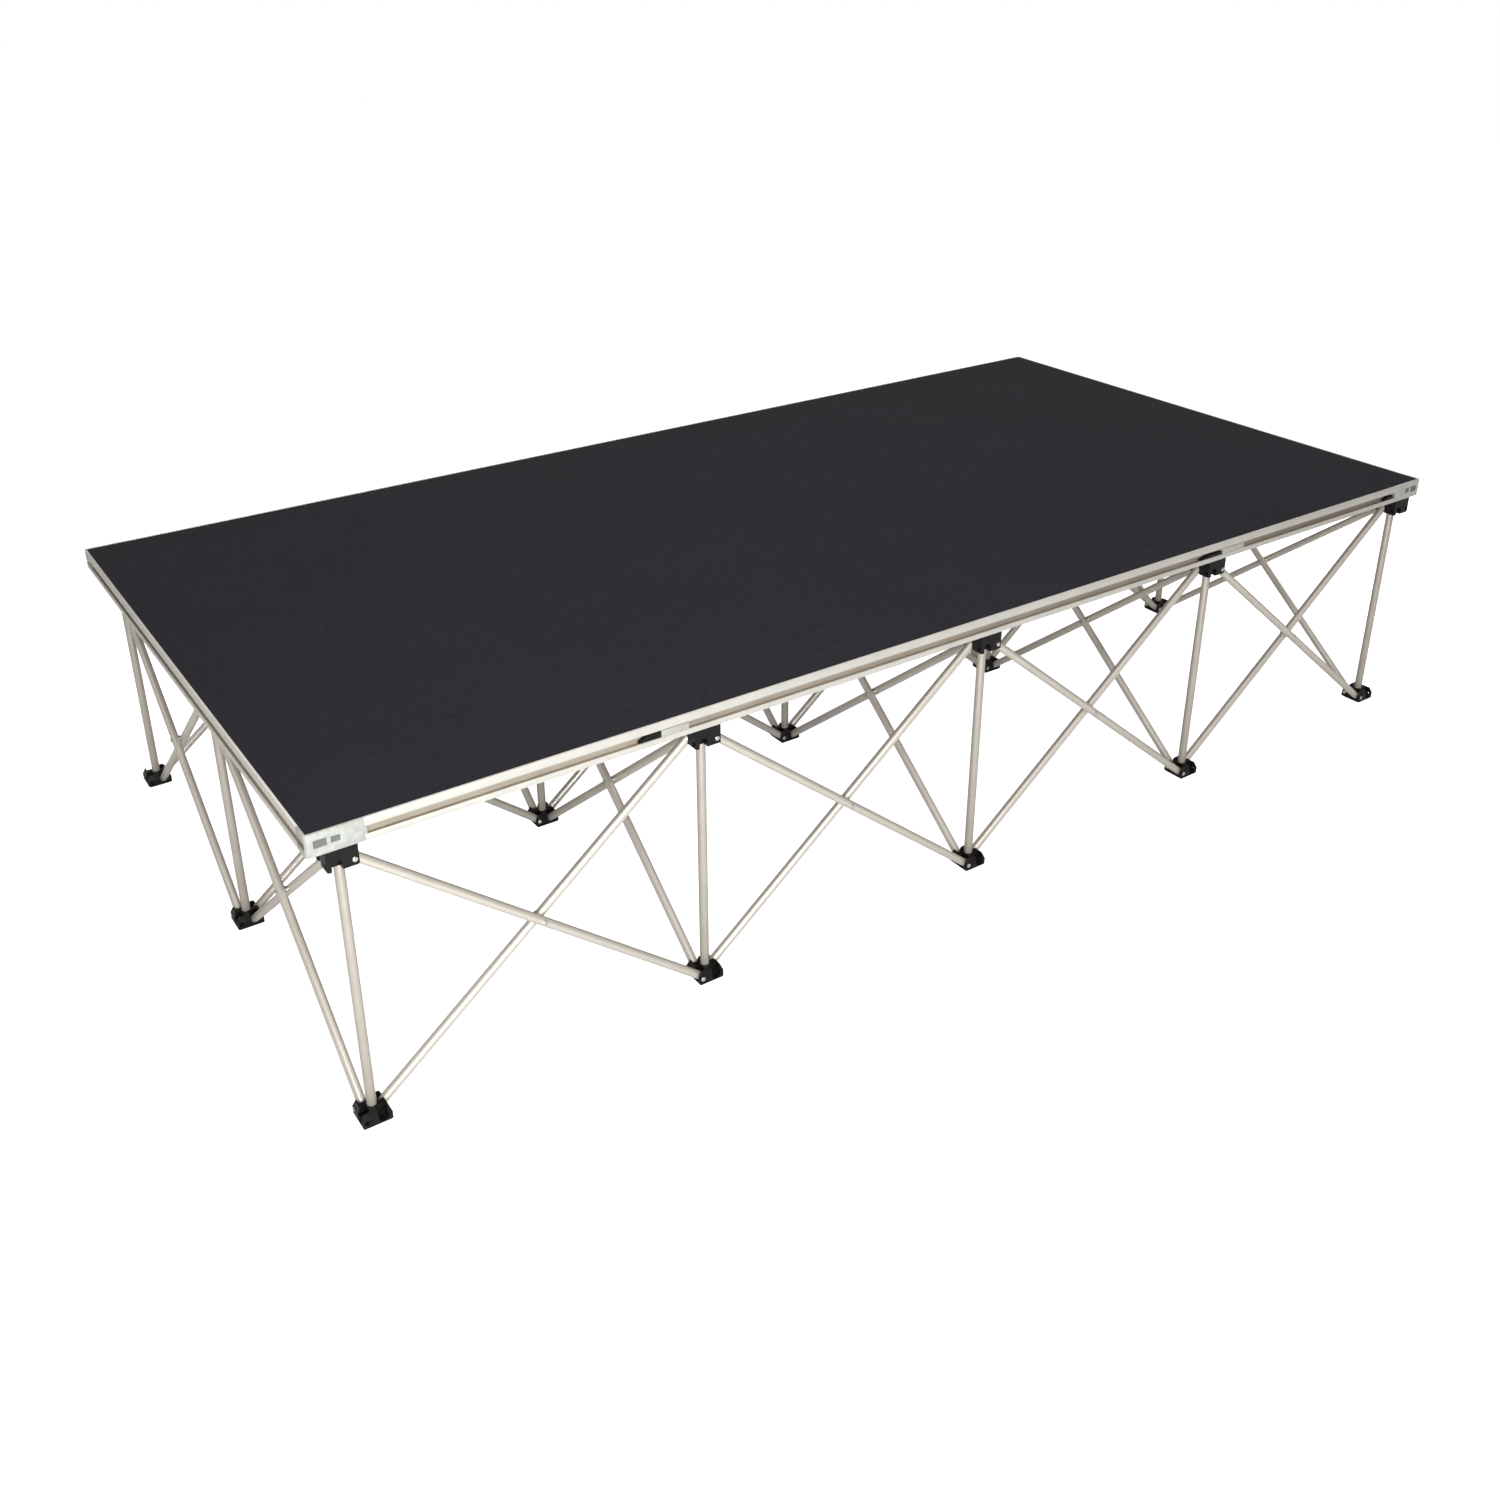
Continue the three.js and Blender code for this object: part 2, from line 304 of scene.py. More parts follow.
def cast_metal_material():
    """Sand-blasted cast aluminium, a shade greener than the rails."""
    n = Nodes("corner_casting")
    place = n.local()
    sand = n.noise(place, 1300, 3, 0.65)
    clouds = n.noise(place, 110, 3)
    colour = n.colours(clouds, (0.3, srgb(180, 181, 172)), (0.7, srgb(204, 204, 194)))
    roughness = n.spread(sand, 0.42, 0.58)
    normal = n.bump(sand, 0.25, 0.12 * MM)
    return n.finish(colour, roughness, normal, Metallic=0.3)


def black_plastic_material():
    """Moulded black nylon with a fine matt skin."""
    n = Nodes("black_plastic")
    place = n.local()
    skin = n.noise(place, 2200, 2, 0.6)
    clouds = n.noise(place, 120, 3)
    colour = n.colours(clouds, (0.3, srgb(14, 13, 12)), (0.7, srgb(23, 21, 19)))
    roughness = n.spread(clouds, 0.38, 0.52)
    normal = n.bump(skin, 0.3, 0.06 * MM)
    return n.finish(colour, roughness, normal, Specular_IOR_Level=0.25)


def rubber_material():
    """The feet's black rubber pads."""
    n = Nodes("foot_pad")
    skin = n.noise(n.local(), 1500, 3, 0.7)
    colour = n.colours(skin, (0.3, srgb(16, 16, 16)), (0.7, srgb(30, 30, 29)))
    roughness = n.spread(skin, 0.75, 0.9)
    return n.finish(colour, roughness, n.bump(skin, 0.4, 0.1 * MM))


def steel_material():
    """Zinc-plated rivets and pins."""
    n = Nodes("steel_rivet")
    stains = n.noise(n.local(), 500, 3)
    colour = n.colours(stains, (0.3, srgb(196, 196, 192)), (0.7, srgb(236, 236, 232)))
    roughness = n.spread(stains, 0.22, 0.36)
    return n.finish(colour, roughness, Metallic=0.9)


deck_surface = deck_surface_material()
board_core = board_core_material()
brace_tube = drawn_metal_material(
    "brace_tube", srgb(216, 206, 192), srgb(228, 219, 206), 0.36, 0.5, 0.03)
# The posts: the braces' aluminium painted darker, as painted shade from the deck above them.
shaded_post_tube = drawn_metal_material(
    "shaded_post_tube", srgb(184, 175, 162), srgb(203, 194, 181), 0.45, 0.35, 0.03)
deck_rail = drawn_metal_material(
    "deck_rail", srgb(207, 202, 192), srgb(219, 214, 204), 0.42, 0.35, 0.08)
# The groove's inside: the rail's metal painted darker, as painted shade in the groove.
groove_painted_shade = drawn_metal_material(
    "groove_painted_shade", srgb(172, 160, 144), srgb(190, 178, 162), 0.5, 0.3, 0.1)
coupling_metal = drawn_metal_material(
    "coupling_metal", srgb(186, 184, 172), srgb(202, 200, 188), 0.5, 0.3, 0.1)
recess_metal = drawn_metal_material(
    "recess_metal", srgb(112, 112, 109), srgb(130, 130, 127), 0.6, 0.2, 0.1)
casting = cast_metal_material()
black_plastic = black_plastic_material()
foot_pad = rubber_material()
steel_rivet = steel_material()

# ---- mesh tools -------------------------------------------------------------------------------


def to_mesh(bm, name):
    """The bmesh as mesh data with outward faces, which keeps each point's place in its own axes."""
    bmesh.ops.remove_doubles(bm, verts=bm.verts, dist=1e-7)
    bmesh.ops.recalc_face_normals(bm, faces=bm.faces)
    mesh = bpy.data.meshes.new(name)
    bm.to_mesh(mesh)
    bm.free()
    return mesh


def prism(outline, low, high, holes=()):
    """A solid between z = low and z = high on a plan outline, given as (x, y) points."""
    bm = bmesh.new()
    rings = []
    for points in (outline, *holes):
        ends = []
        for z in (low, high):
            ends.append([bm.verts.new((x, y, z)) for x, y in points])
        for i in range(len(points)):
            j = (i + 1) % len(points)
            bm.faces.new((ends[0][i], ends[0][j], ends[1][j], ends[1][i]))
        rings.append(ends)
    if holes:
        for end in (0, 1):
            edges = []
            for ends in rings:
                ring = ends[end]
                for i in range(len(ring)):
                    edges.append(bm.edges.get((ring[i], ring[(i + 1) % len(ring)])))
            bmesh.ops.triangle_fill(bm, edges=edges, use_beauty=True)
    else:
        bm.faces.new(list(reversed(rings[0][0])))
        bm.faces.new(rings[0][1])
    return to_mesh(bm, "prism")


def arc(centre, radius, start, end, steps):
    points = []
    for i in range(steps + 1):
        angle = start + (end - start) * i / steps
        points.append((centre[0] + radius * math.cos(angle), centre[1] + radius * math.sin(angle)))
    return points


def circle(radius, sides):
    """A closed ring of points: an arc that stops one side short of its start."""
    return arc((0, 0), radius, 0, 2 * math.pi * (sides - 1) / sides, sides - 1)


def rectangle(left, bottom, right, top):
    return [(left, bottom), (right, bottom), (right, top), (left, top)]


def rounded_square(side, radius):
    inner = side / 2 - radius
    points = []
    for quarter in range(4):
        angle = quarter * QUARTER
        corner = (inner if quarter in (0, 3) else -inner, inner if quarter in (0, 1) else -inner)
        points += arc(corner, radius, angle, angle + QUARTER, CORNER_STEPS)
    return points


def stack(levels, radius):
    """A block of rounded squares of (side, z), from the bottom up."""
    bm = bmesh.new()
    rings = []
    for side, z in levels:
        rings.append([bm.verts.new((x, y, z)) for x, y in rounded_square(side, radius)])
    for below, above in zip(rings, rings[1:]):
        for i in range(len(below)):
            j = (i + 1) % len(below)
            bm.faces.new((below[i], below[j], above[j], above[i]))
    bm.faces.new(list(reversed(rings[0])))
    bm.faces.new(rings[-1])
    return to_mesh(bm, "stack")


def turned(profile):
    """A solid of revolution about z, from (radius, z) points that start and end on the axis."""
    sides = ROUND_SIDES
    bm = bmesh.new()
    rings = []
    for radius, z in profile:
        if radius == 0:
            rings.append([bm.verts.new((0, 0, z))] * sides)
        else:
            rings.append([bm.verts.new((x, y, z)) for x, y in circle(radius, sides)])
    for below, above in zip(rings, rings[1:]):
        for i in range(sides):
            j = (i + 1) % sides
            corners = []
            for vert in (below[i], below[j], above[j], above[i]):
                if vert not in corners:
                    corners.append(vert)
            bm.faces.new(corners)
    return to_mesh(bm, "turned")


def moved(mesh, matrix):
    """A moved copy of the mesh, turned right side out where the matrix mirrors it."""
    copy = mesh.copy()
    copy.transform(matrix)
    if matrix.determinant() < 0:
        copy.flip_normals()
    return copy


def along_x(mesh):
    """Lays a section drawn in x and y along +X: its x runs to +Y, its y upwards."""
    return moved(mesh, Matrix(((0, 0, 1, 0), (1, 0, 0, 0), (0, 1, 0, 0), (0, 0, 0, 1))))


def joined(meshes):
    bm = bmesh.new()
    for mesh in meshes:
        bm.from_mesh(mesh)
    result = bpy.data.meshes.new("joined")
    bm.to_mesh(result)
    bm.free()
    return result


def with_modifiers(mesh, *modifiers):
    """The mesh after modifiers given as (kind, settings)."""
    worker = bpy.data.objects.new("worker", mesh)
    bpy.context.scene.collection.objects.link(worker)
    for kind, settings in modifiers:
        modifier = worker.modifiers.new(kind, kind)
        for key, value in settings.items():
            setattr(modifier, key, value)
    bpy.context.view_layer.update()
    depsgraph = bpy.context.evaluated_depsgraph_get()
    result = bpy.data.meshes.new_from_object(worker.evaluated_get(depsgraph))
    bpy.data.objects.remove(worker)
    return result


def cut(mesh, tools):
    """The mesh with each tool mesh cut out of it."""
    for tool in tools:
        cutter = bpy.data.objects.new("cutter", tool)
        bpy.context.scene.collection.objects.link(cutter)
        settings = {"object": cutter, "operation": "DIFFERENCE", "solver": "EXACT"}
        mesh = with_modifiers(mesh, ("BOOLEAN", settings))
        bpy.data.objects.remove(cutter)
    return mesh


def softened(mesh, width, degrees=30):
    """The mesh with a small bevel on each edge sharper than the angle."""
    settings = {
        "width": width,
        "segments": 2,
        "limit_method": "ANGLE",
        "angle_limit": math.radians(degrees),
        "use_clamp_overlap": True,
        "harden_normals": False,
    }
    return with_modifiers(mesh, ("BEVEL", settings))


def shifted(x=0.0, y=0.0, z=0.0):
    return Matrix.Translation((x, y, z))


def turned_z(angle):
    return Matrix.Rotation(angle, 4, "Z")


# ---- pieces -----------------------------------------------------------------------------------


# An edge sharper than this stays crisp in the smooth shading.
SHARP_ANGLE = math.radians(35)


def piece(name, mesh, matrix, slot, *materials):
    """A named piece made from a copy of the mesh. Its local attribute keeps the mesh's own axes."""
    data = mesh.copy()
    data.name = name
    places = data.attributes.new("local", "FLOAT_VECTOR", "POINT")
    flat = []
    for vertex in data.vertices:
        flat.extend(vertex.co)
    places.data.foreach_set("vector", flat)
    data.transform(matrix)
    if matrix.determinant() < 0:
        data.flip_normals()
    for material in materials:
        data.materials.append(material)
    data.shade_smooth()
    data.set_sharp_from_angle(angle=SHARP_ANGLE)
    result = bpy.data.objects.new(name, data)
    bpy.context.scene.collection.objects.link(result)
    return result


def attach(result, pattern, column):
    """Puts a frame piece on its column's body. Columns 2 and 4 have no body, so their pieces are
    only baked in place.
    """
    if column % 2:
        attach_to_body(result, pattern.format(column))
        return
    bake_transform(result)


def stand_for(node):
    """Replaces the node, where the frame has one: columns 2 and 4 have none."""
    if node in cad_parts:
        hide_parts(node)


# ---- hubs and feet ----------------------------------------------------------------------------


def slot_cutter(lane, pin_z, opens_up):
    """A slot along +X, round at the pin and open at the block's top or underside."""
    reach = HUB_SIDE
    if opens_up:
        outline = [(SLOT_HALF, pin_z + reach), (-SLOT_HALF, pin_z + reach)]
        outline += arc((0, pin_z), SLOT_HALF, math.pi, 2 * math.pi, SLOT_STEPS)
    else:
        outline = [(-SLOT_HALF, pin_z - reach), (SLOT_HALF, pin_z - reach)]
        outline += arc((0, pin_z), SLOT_HALF, 0, math.pi, SLOT_STEPS)
    cutter = prism(outline, PIN_INSET - SLOT_HALF, HUB_SIDE)
    return moved(along_x(cutter), shifted(y=lane * LANE))


def pin_matrix(lane, pin_z, side):
    """Puts a part made along z at the pin of one side's slot, with its +z end at the pin's head."""
    across = Matrix.Rotation(-lane * QUARTER, 4, "X")
    return turned_z(side * QUARTER) @ shifted(PIN_INSET, 0, pin_z) @ across


def block_mesh(levels, lane, pin_z, opens_up, socket):
    """A hub's or foot's moulded block: four slots in a pinwheel, pin holes and a post socket."""
    block = stack(levels, CORNER_RADIUS)
    slot = slot_cutter(lane, pin_z, opens_up)
    hole = prism(circle(PIN_RADIUS + GAP, HOLE_SIDES), -PIN_HOLE_DEPTH, HUB_SIDE)
    sink = prism(circle(PIN_SINK_RADIUS, SINK_SIDES), HUB_SIDE / 2 - PIN_SINK_DEPTH, HUB_SIDE)
    tools = []
    for side in range(4):
        tools.append(moved(slot, turned_z(side * QUARTER)))
    for side in range(4):
        tools.append(moved(hole, pin_matrix(lane, pin_z, side)))
        tools.append(moved(sink, pin_matrix(lane, pin_z, side)))
    tools.append(socket)
    return softened(cut(block, tools), BLOCK_BEVEL)


def hub_mesh():
    levels = [
        (HUB_SIDE - 2 * HUB_CHAMFER, 0),
        (HUB_SIDE, HUB_CHAMFER),
        (HUB_SIDE, HUB_HEIGHT - HUB_TOP_CHAMFER),
        (HUB_SIDE - 2 * HUB_TOP_CHAMFER, HUB_HEIGHT),
    ]
    socket = prism(circle(HUB_SOCKET_RADIUS, SOCKET_SIDES), -MM, POST_TOP)
    return block_mesh(levels, -1, HUB_PIN_RISE, False, socket)


def foot_mesh():
    levels = [
        (HUB_SIDE - 2 * FOOT_CHAMFER, FOOT_BASE),
        (HUB_SIDE, FOOT_BASE + FOOT_CHAMFER_RISE),
        (HUB_SIDE, FOOT_SHOULDER),
        (FOOT_TOP_SIDE, FOOT_HEIGHT),
    ]
    bore = circle(FOOT_SOCKET_RADIUS, SOCKET_SIDES)
    socket = prism(bore, FOOT_PIN_RISE - SLOT_HALF, FOOT_HEIGHT + MM)
    return block_mesh(levels, 1, FOOT_PIN_RISE, True, socket)


def pin_mesh():
    """A pivot pin: its head at the block's face, its shank across the slot."""
    face = HUB_SIDE / 2
    head = PIN_HEAD_RADIUS
    return turned([
        (0, -PIN_TIP),
        (PIN_RADIUS - PIN_CHAMFER, -PIN_TIP),
        (PIN_RADIUS, PIN_CHAMFER - PIN_TIP),
        (PIN_RADIUS, face - PIN_SINK_DEPTH),
        (head, face - 0.8 * MM),
        (head, face - 0.3 * MM),
        (head - 0.5 * MM, face + 0.15 * MM),
        (head - 1.6 * MM, face + 0.4 * MM),
        (0, face + 0.5 * MM),
    ])


def used_sides(column, row):
    """The sides of a hub that hold a brace: 0 is +X, 1 is +Y, 2 is -X and 3 is -Y."""
    return [side for side, used in enumerate((column < 5, row < 3, column > 1, row > 1)) if used]


def pins_mesh(pin, lane, pin_z, column, row):
    """A hub's or foot's pins, one for each brace that it holds."""
    return joined([moved(pin, pin_matrix(lane, pin_z, side)) for side in used_sides(column, row)])


def post_mesh():
    """The upright post, open at the foot and closed in the hub, from its lower end up."""
    length = HUB_BOTTOM + POST_TOP - GAP - POST_BOTTOM
    bore = circle(POST_RADIUS - TUBE_WALL, ROUND_SIDES)
    tube = prism(circle(POST_RADIUS, ROUND_SIDES), 0, length, [bore])
    return softened(tube, POST_BEVEL, degrees=50)


def make_blocks():
    hub = hub_mesh()
    foot = foot_mesh()
    pin = pin_mesh()
    post = post_mesh()
    pad_side = HUB_SIDE - 2 * PAD_INSET
    pad = stack([
        (pad_side - 2 * PAD_BEVEL, 0),
        (pad_side, PAD_BEVEL),
        (pad_side, FOOT_BASE - 0.02 * MM),
    ], PAD_RADIUS)
    for column in COLUMNS:
        for row in ROWS:
            place = f"c{column}_r{row}"
            ground = shifted(column_x(column), row_y(row), 0)
            tube_end = ground @ shifted(z=POST_BOTTOM)
            top = shifted(column_x(column), row_y(row), HUB_BOTTOM)
            hub_pins = pins_mesh(pin, -1, HUB_PIN_RISE, column, row)
            foot_pins = pins_mesh(pin, 1, FOOT_PIN_RISE, column, row)
            # Each piece's kind, mesh, place, slot, material and the node it stands for.
            for kind, mesh, matrix, slot, material, node in (
                ("hub_block", hub, top, "black_plastic", black_plastic, "top_hub"),
                ("post", post, tube_end, "brace_tube", shaded_post_tube, "top_hub"),
                ("hub_pins", hub_pins, top, "steel_rivet", steel_rivet, "top_hub"),
                ("foot_block", foot, ground, "black_plastic", black_plastic, "foot"),
                ("foot_pins", foot_pins, ground, "steel_rivet", steel_rivet, "foot"),
                ("foot_pad", pad, ground, "foot_pad", foot_pad, "foot"),
            ):
                part = piece(f"{kind}_{place}", mesh, matrix, slot, material)
                attach(part, node + "_c{}_r" + str(row), column)
                stand_for(f"{node}_{place}")


# ---- braces -----------------------------------------------------------------------------------


def brace_mesh():
    """A round tube along +X from pin to pin, its ends rounded about the pins and drilled across."""
    sides = ROUND_SIDES
    bm = bmesh.new()
    rings = []
    for radius in (TUBE_RADIUS, TUBE_RADIUS - TUBE_WALL):
        ends = []
        for x, out in ((0, -1), (BRACE_LENGTH, 1)):
            ring = []
            for y, z in circle(radius, sides):
                reach = math.sqrt(TUBE_RADIUS ** 2 - z ** 2)
                ring.append(bm.verts.new((x + out * reach, y, z)))
            ends.append(ring)
        rings.append(ends)
    (outer_low, outer_high), (inner_low, inner_high) = rings
    for i in range(sides):
        j = (i + 1) % sides
        bm.faces.new((outer_low[i], outer_low[j], outer_high[j], outer_high[i]))
        bm.faces.new((inner_low[j], inner_low[i], inner_high[i], inner_high[j]))
        bm.faces.new((outer_low[j], outer_low[i], inner_low[i], inner_low[j]))
        bm.faces.new((outer_high[i], outer_high[j], inner_high[j], inner_high[i]))
    tube = to_mesh(bm, "brace")
    eye = prism(circle(EYE_RADIUS, HOLE_SIDES), -2 * TUBE_RADIUS, 2 * TUBE_RADIUS)
    across = Matrix.Rotation(QUARTER, 4, "X")
    tools = [moved(eye, shifted(x) @ across) for x in (0, BRACE_LENGTH / 2, BRACE_LENGTH)]
    return cut(tube, tools)


def crossing_mesh():
    """The rivet through two crossing braces, along z, with a spacer between the tubes."""
    shank = PIN_RADIUS
    tip = LANE + TUBE_RADIUS
    head = RIVET_HEAD_RADIUS
    spacer = LANE - TUBE_RADIUS - GAP / 2
    half = [
        (SPACER_RADIUS, 0),
        (SPACER_RADIUS, spacer - SPACER_CHAMFER),
        (SPACER_RADIUS - SPACER_CHAMFER, spacer),
        (shank, spacer),
        (shank, tip - 0.3 * MM),
        (head, tip - 0.1 * MM),
        (head, tip + 0.5 * MM),
        (head - 0.8 * MM, tip + 1.1 * MM),
        (0, tip + 1.4 * MM),
    ]
    lower = [(radius, -z) for radius, z in reversed(half[1:])]
    return turned(lower + half)


def make_long_braces(brace, crossing):
    """Two crossing braces in each bay of each row: the falling one is nearer the front."""
    across = Matrix.Rotation(QUARTER, 4, "X")
    rise = Matrix.Rotation(-BRACE_ANGLE, 4, "Y")
    fall = Matrix.Rotation(BRACE_ANGLE, 4, "Y")
    for row in ROWS:
        for bay in LONG_BAYS:
            x = column_x(bay) + PIN_INSET
            y = row_y(row)
            name = f"b{bay}_r{row}"
            for kind, matrix in (
                ("up", shifted(x, y + LANE, FOOT_PIN_RISE) @ rise),
                ("down", shifted(x, y - LANE, HUB_PIN_Z) @ fall),
            ):
                body = f"long_brace_{kind}_{name}"
                tube = piece(f"long_tube_{kind}_{name}", brace, matrix, "brace_tube", brace_tube)
                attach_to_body(tube, body)
                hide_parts(body)
            middle = shifted(x + BRACE_RUN / 2, y, (FOOT_PIN_RISE + HUB_PIN_Z) / 2)
            middle = middle @ across
            rivet = piece(f"long_rivet_{name}", crossing, middle, "steel_rivet", steel_rivet)
            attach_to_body(rivet, f"long_brace_down_{name}")


def make_side_braces(brace, crossing):
    """Two crossing braces in each bay of each column: the rising one is nearer the left end."""
    across = Matrix.Rotation(QUARTER, 4, "Y")
    rise = turned_z(QUARTER) @ Matrix.Rotation(-BRACE_ANGLE, 4, "Y")
    fall = turned_z(QUARTER) @ Matrix.Rotation(BRACE_ANGLE, 4, "Y")
    for column in COLUMNS:
        for bay in SIDE_BAYS:
            x = column_x(column)
            y = row_y(bay) + PIN_INSET
            name = f"c{column}_b{bay}"
            for kind, matrix in (
                ("up", shifted(x - LANE, y, FOOT_PIN_RISE) @ rise),
                ("down", shifted(x + LANE, y, HUB_PIN_Z) @ fall),
            ):
                body = f"side_brace_{kind}_c{{}}_b{bay}"
                tube = piece(f"side_tube_{kind}_{name}", brace, matrix, "brace_tube", brace_tube)
                attach(tube, body, column)
                stand_for(body.format(column))
            middle = shifted(x, y + BRACE_RUN / 2, (FOOT_PIN_RISE + HUB_PIN_Z) / 2)
            middle = middle @ across
            rivet = piece(f"side_rivet_{name}", crossing, middle, "steel_rivet", steel_rivet)
            attach(rivet, f"side_brace_down_c{{}}_b{bay}", column)


# ---- deck -------------------------------------------------------------------------------------


def rail_outline():
    """A rail's section: x runs inwards from its outer face, y upwards from its underside."""
    mouth_low, mouth_high = GROOVE_MOUTH
    cavity_low, cavity_high = GROOVE_CAVITY
    return [
        (0, 0),
        (RAIL_WIDTH, 0),
        (RAIL_WIDTH, RAIL_LEDGE),
        (RAIL_LIP, RAIL_LEDGE),
        (RAIL_LIP, RAIL_HEIGHT),
        (0, RAIL_HEIGHT),
        (0, mouth_high + MOUTH_CHAMFER),
        (MOUTH_CHAMFER, mouth_high),
        (GROOVE_LIP, mouth_high),
        (GROOVE_LIP, cavity_high),
        (GROOVE_DEPTH, cavity_high),
        (GROOVE_DEPTH, cavity_low),
        (GROOVE_LIP, cavity_low),
        (GROOVE_LIP, mouth_low),
        (MOUTH_CHAMFER, mouth_low),
        (0, mouth_low - MOUTH_CHAMFER),
    ]


def lined(mesh, low, high, material=1):
    """The mesh with another of its materials on the faces whose middles lie between two corners."""
    for face in mesh.polygons:
        inside = [low[i] < face.center[i] < high[i] for i in range(3)]
        if all(inside):
            face.material_index = material
    return mesh


def rail_mesh(length):
    """A rail along x, with a darker metal inside its groove: painted shade in the groove."""
    solid = prism(rail_outline(), -length / 2, length / 2)
    rail = along_x(softened(solid, RAIL_BEVEL, degrees=40))
    # The groove's inner faces take the second, darker metal: painted shade.
    low, high = GROOVE_CAVITY
    return lined(rail, (-length, SKIN, low - SKIN), (length, GROOVE_DEPTH + SKIN, high + SKIN))


def casting_mesh():
    """The corner block at a long rail's -X end: rounded corner, groove end, two blank recesses."""
    centre = (CASTING_RADIUS, CASTING_RADIUS)
    corner = arc(centre, CASTING_RADIUS, math.pi, 1.5 * math.pi, CASTING_STEPS)
    outline = [(CASTING_LENGTH - GAP, 0), (CASTING_LENGTH - GAP, RAIL_WIDTH), (0, RAIL_WIDTH)]
    block = prism(outline + corner, 0, RAIL_HEIGHT)

    def box(low, high):
        return prism(rectangle(low[0], low[1], high[0], high[1]), low[2], high[2])

    pocket = box((RAIL_LIP, RAIL_LIP, RAIL_LEDGE), (1, 1, 1))
    groove = box((-1, RAIL_LIP, GROOVE_MOUTH[0]), (GROOVE_DEPTH, 1, GROOVE_MOUTH[1]))
    tools = [pocket, groove]
    for (left, bottom), (right, top) in RECESSES:
        tools.append(box((left, -1, bottom), (right, RECESS_DEPTH, top)))
    mesh = softened(cut(block, tools), CASTING_BEVEL)
    # The groove end's inner faces take the second metal: painted shade in the groove.
    mesh = lined(mesh, (SKIN, RAIL_LIP, GROOVE_MOUTH[0]), (GROOVE_DEPTH + SKIN, 1, GROOVE_MOUTH[1]))
    for (left, bottom), (right, top) in RECESSES:
        mesh = lined(mesh, (left, RECESS_DEPTH - GAP, bottom), (right, RECESS_DEPTH + GAP, top), 2)
    return mesh


def in_groove(length, low, high, proud, taper=0.0):
    """A block in the groove's mouth between two heights, its face proud of the rail's by a little.

    Its top edge falls to its bottom edge over the taper at its -X end.
    """
    outline = [(0, low), (length, low), (length, high), (taper, high)]
    block = softened(prism(outline, GAP - GROOVE_DEPTH, proud), GROOVE_PART_BEVEL)
    return moved(block, Matrix.Rotation(QUARTER, 4, "X"))


def ride_on_deck(result, *nodes):
    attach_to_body(result, "deck")
    if nodes:
        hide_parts(*nodes)


def make_rails():
    long_rail = rail_mesh(DECK_LENGTH - 2 * CASTING_LENGTH)
    short_rail = rail_mesh(left_box[1].y - left_box[0].y)
    front = shifted(0, DECK_FRONT, DECK_BOTTOM)
    side = turned_z(-QUARTER) @ shifted(0, DECK_LEFT, DECK_BOTTOM)
    half_turn = turned_z(2 * QUARTER)
    for name, mesh, matrix in (
        ("front", long_rail, front),
        ("back", long_rail, half_turn @ front),
        ("left", short_rail, side),
        ("right", short_rail, half_turn @ side),
    ):
        rail = piece(f"{name}_rail_extrusion", mesh, matrix, "deck_rail", deck_rail, groove_painted_shade)
        ride_on_deck(rail, f"{name}_rail")

    corner = casting_mesh()
    flip = Matrix.Scale(-1, 4, (1, 0, 0))
    at_left = shifted(DECK_LEFT, DECK_FRONT, DECK_BOTTOM)
    for name, matrix in (
        ("front_left", at_left),
        ("front_right", flip @ at_left),
        ("back_right", half_turn @ at_left),
        ("back_left", half_turn @ flip @ at_left),
    ):
        metals = (casting, groove_painted_shade, recess_metal)
        ride_on_deck(piece(f"corner_casting_{name}", corner, matrix, "corner_casting", *metals))


def make_groove_parts():
    """The coupling blocks in the front groove, each with a black stop, its left end plug, and black
    painted shade in the groove: the right stop runs on as painted shade, and a black strip of
    painted shade sits at the right end.
    """
    low, high = GROOVE_MOUTH
    end = DECK_LENGTH / 2 - CASTING_LENGTH

    def block(length):
        return in_groove(length, low + COUPLING_GAP, high - COUPLING_GAP, COUPLING_PROUD)

    def stop(length, taper, drop):
        # drop is how far its top lies below the mouth's.
        return in_groove(length, low + STOP_GAP, high - drop, -STOP_SUNK, taper)

    plug = in_groove(PLUG_LENGTH, low + GAP, high - GAP, 0)
    metal = ("corner_casting", coupling_metal)
    black = ("black_plastic", black_plastic)
    # Each part's name, mesh, place of its -X end, slot and material.
    parts = (
        ("coupling_block_left", block(40 * MM), -549 * MM, *metal),
        ("coupling_stop_left", stop(31 * MM, 12 * MM, 0.5 * MM), -580.5 * MM, *black),
        ("coupling_block_right", block(50 * MM), 486 * MM, *metal),
        # The right stop is a real black stop, run long and thin as black painted shade along the
        # groove.
        ("coupling_stop_and_shade_right", stop(50 * MM, 16 * MM, 4.8 * MM), 435.5 * MM, *black),
        ("groove_plug_left", plug, -end, "corner_casting", casting),
        # A thin black strip at the groove's right end: painted shade in the groove, not a plug.
        ("groove_shade_strip_right", stop(24 * MM, 8 * MM, 4.2 * MM), end - 29 * MM, *black),
    )
    for name, mesh, x, slot, material in parts:
        matrix = shifted(x, DECK_FRONT, DECK_BOTTOM)
        ride_on_deck(piece(name, mesh, matrix, slot, material))


def make_board():
    """The deck board: black film above and on its edges, bare dark ply below."""
    low, high = board_box
    outline = rectangle(low.x, low.y, high.x, high.y)
    mesh = softened(prism(outline, low.z, high.z), BOARD_BEVEL)
    board = piece("deck_panel", mesh, Matrix(), "deck_surface", deck_surface, board_core)
    for face in board.data.polygons:
        face.material_index = 1 if face.normal.z < -0.5 else 0
    ride_on_deck(board, "deck_board")


